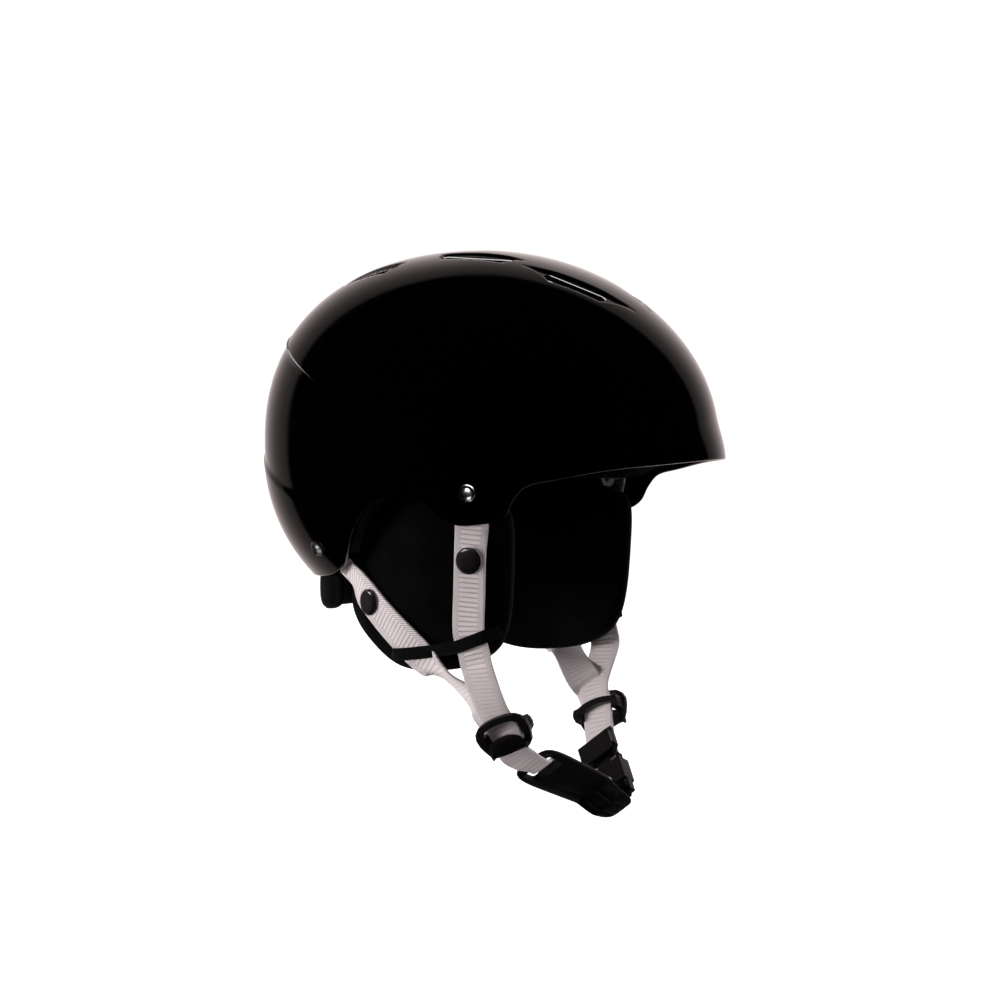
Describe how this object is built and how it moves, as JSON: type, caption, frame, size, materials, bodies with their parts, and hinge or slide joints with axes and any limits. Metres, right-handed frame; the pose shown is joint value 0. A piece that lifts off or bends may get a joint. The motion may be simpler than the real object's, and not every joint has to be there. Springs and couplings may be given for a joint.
{
  "type": "water helmet",
  "caption": "Hard domed water-sports helmet with a short brim, soft ear pads, pale webbing harness, strap dividers, padded chin strap and side-release buckle.",
  "frame": {"origin": "middle of the head, level with the top of the ear cut-outs, where the head carries the helmet", "axes": "+Z towards the crown, -Y the way the wearer faces, +X the wearer's left"},
  "size_m": [0.219, 0.2877, 0.3386],
  "materials": {
    "shell": "high gloss black",
    "liner": "closed-cell foam",
    "pad": "soft matte",
    "ear_pad": "soft matte",
    "webbing": "woven",
    "binding": "woven",
    "rivet": "polished",
    "washer": "satin",
    "hardware": "satin black"
  },
  "bodies": {
    "helmet": {"outer_shell": "shell", "foam_liner": "liner", "brow_pad": "pad", "rear_pad": "pad", "crown_pad": "pad", "side_pad_left": "pad", "side_pad_right": "pad", "nape_pad": "pad", "ear_pad_left": "ear_pad", "ear_pad_right": "ear_pad", "strap_front_left": "webbing", "strap_front_right": "webbing", "strap_rear_left": "webbing", "strap_rear_right": "webbing", "strap_front_lower_left": "webbing", "strap_front_lower_right": "webbing", "strap_rear_lower_left": "webbing", "strap_rear_lower_right": "webbing", "rivet_front_left": "rivet", "rivet_front_right": "rivet", "rivet_rear_left": "rivet", "rivet_rear_right": "rivet", "rivet_washer_front_left": "washer", "rivet_washer_front_right": "washer", "rivet_washer_rear_left": "washer", "rivet_washer_rear_right": "washer", "snap_front_left": "hardware", "snap_front_right": "hardware", "snap_rear_left": "hardware", "snap_rear_right": "hardware", "keeper_left": "binding", "keeper_right": "binding", "divider_left": "hardware", "divider_right": "hardware", "chin_strap_left": "webbing", "buckle_tongue": "hardware"},
    "chin_leg": {"chin_strap_right": "webbing", "chin_pad": "pad"},
    "socket": {"buckle_socket": "hardware"},
    "arm_front": {"buckle_arm_front": "hardware"},
    "arm_rear": {"buckle_arm_rear": "hardware"},
    "lock_left": {"divider_lock_left": "hardware"},
    "lock_right": {"divider_lock_right": "hardware"}
  },
  "joints": [
    {"name": "chin_open", "type": "hinge", "parent": "helmet", "child": "chin_leg", "pos_m": [-0.06, -0.0429, -0.1507], "axis": [0, 0.7986, -0.6018], "range_deg": [0, 30]},
    {"name": "socket_turn", "type": "hinge", "parent": "chin_leg", "child": "socket", "pos_m": [0.026, -0.06938, -0.18584], "axis": [0, 0.7986, -0.6018], "range_deg": [-30, 0]},
    {"name": "squeeze_front", "type": "hinge", "parent": "helmet", "child": "arm_front", "pos_m": [0.04257, -0.0616, -0.16023], "axis": [0.8348, -0.3313, -0.4396], "range_deg": [0, 3.5], "stiffness_Nm_per_rad": 0.8},
    {"name": "squeeze_rear", "type": "hinge", "parent": "helmet", "child": "arm_rear", "pos_m": [0.04257, -0.04691, -0.17131], "axis": [-0.8348, 0.3313, 0.4396], "range_deg": [0, 3.5], "stiffness_Nm_per_rad": 0.8},
    {"name": "lock_left_turn", "type": "hinge", "parent": "helmet", "child": "lock_left", "pos_m": [0.06996, -0.04499, -0.14722], "axis": [0.0186, 0.919, -0.3939], "range_deg": [0, 80]},
    {"name": "lock_right_turn", "type": "hinge", "parent": "helmet", "child": "lock_right", "pos_m": [-0.06996, -0.04499, -0.14722], "axis": [0.0186, -0.919, 0.3939], "range_deg": [0, 80]}
  ],
  "couplings": [
    {"joint": "socket_turn", "follows": "chin_open", "ratio": -1}
  ]
}
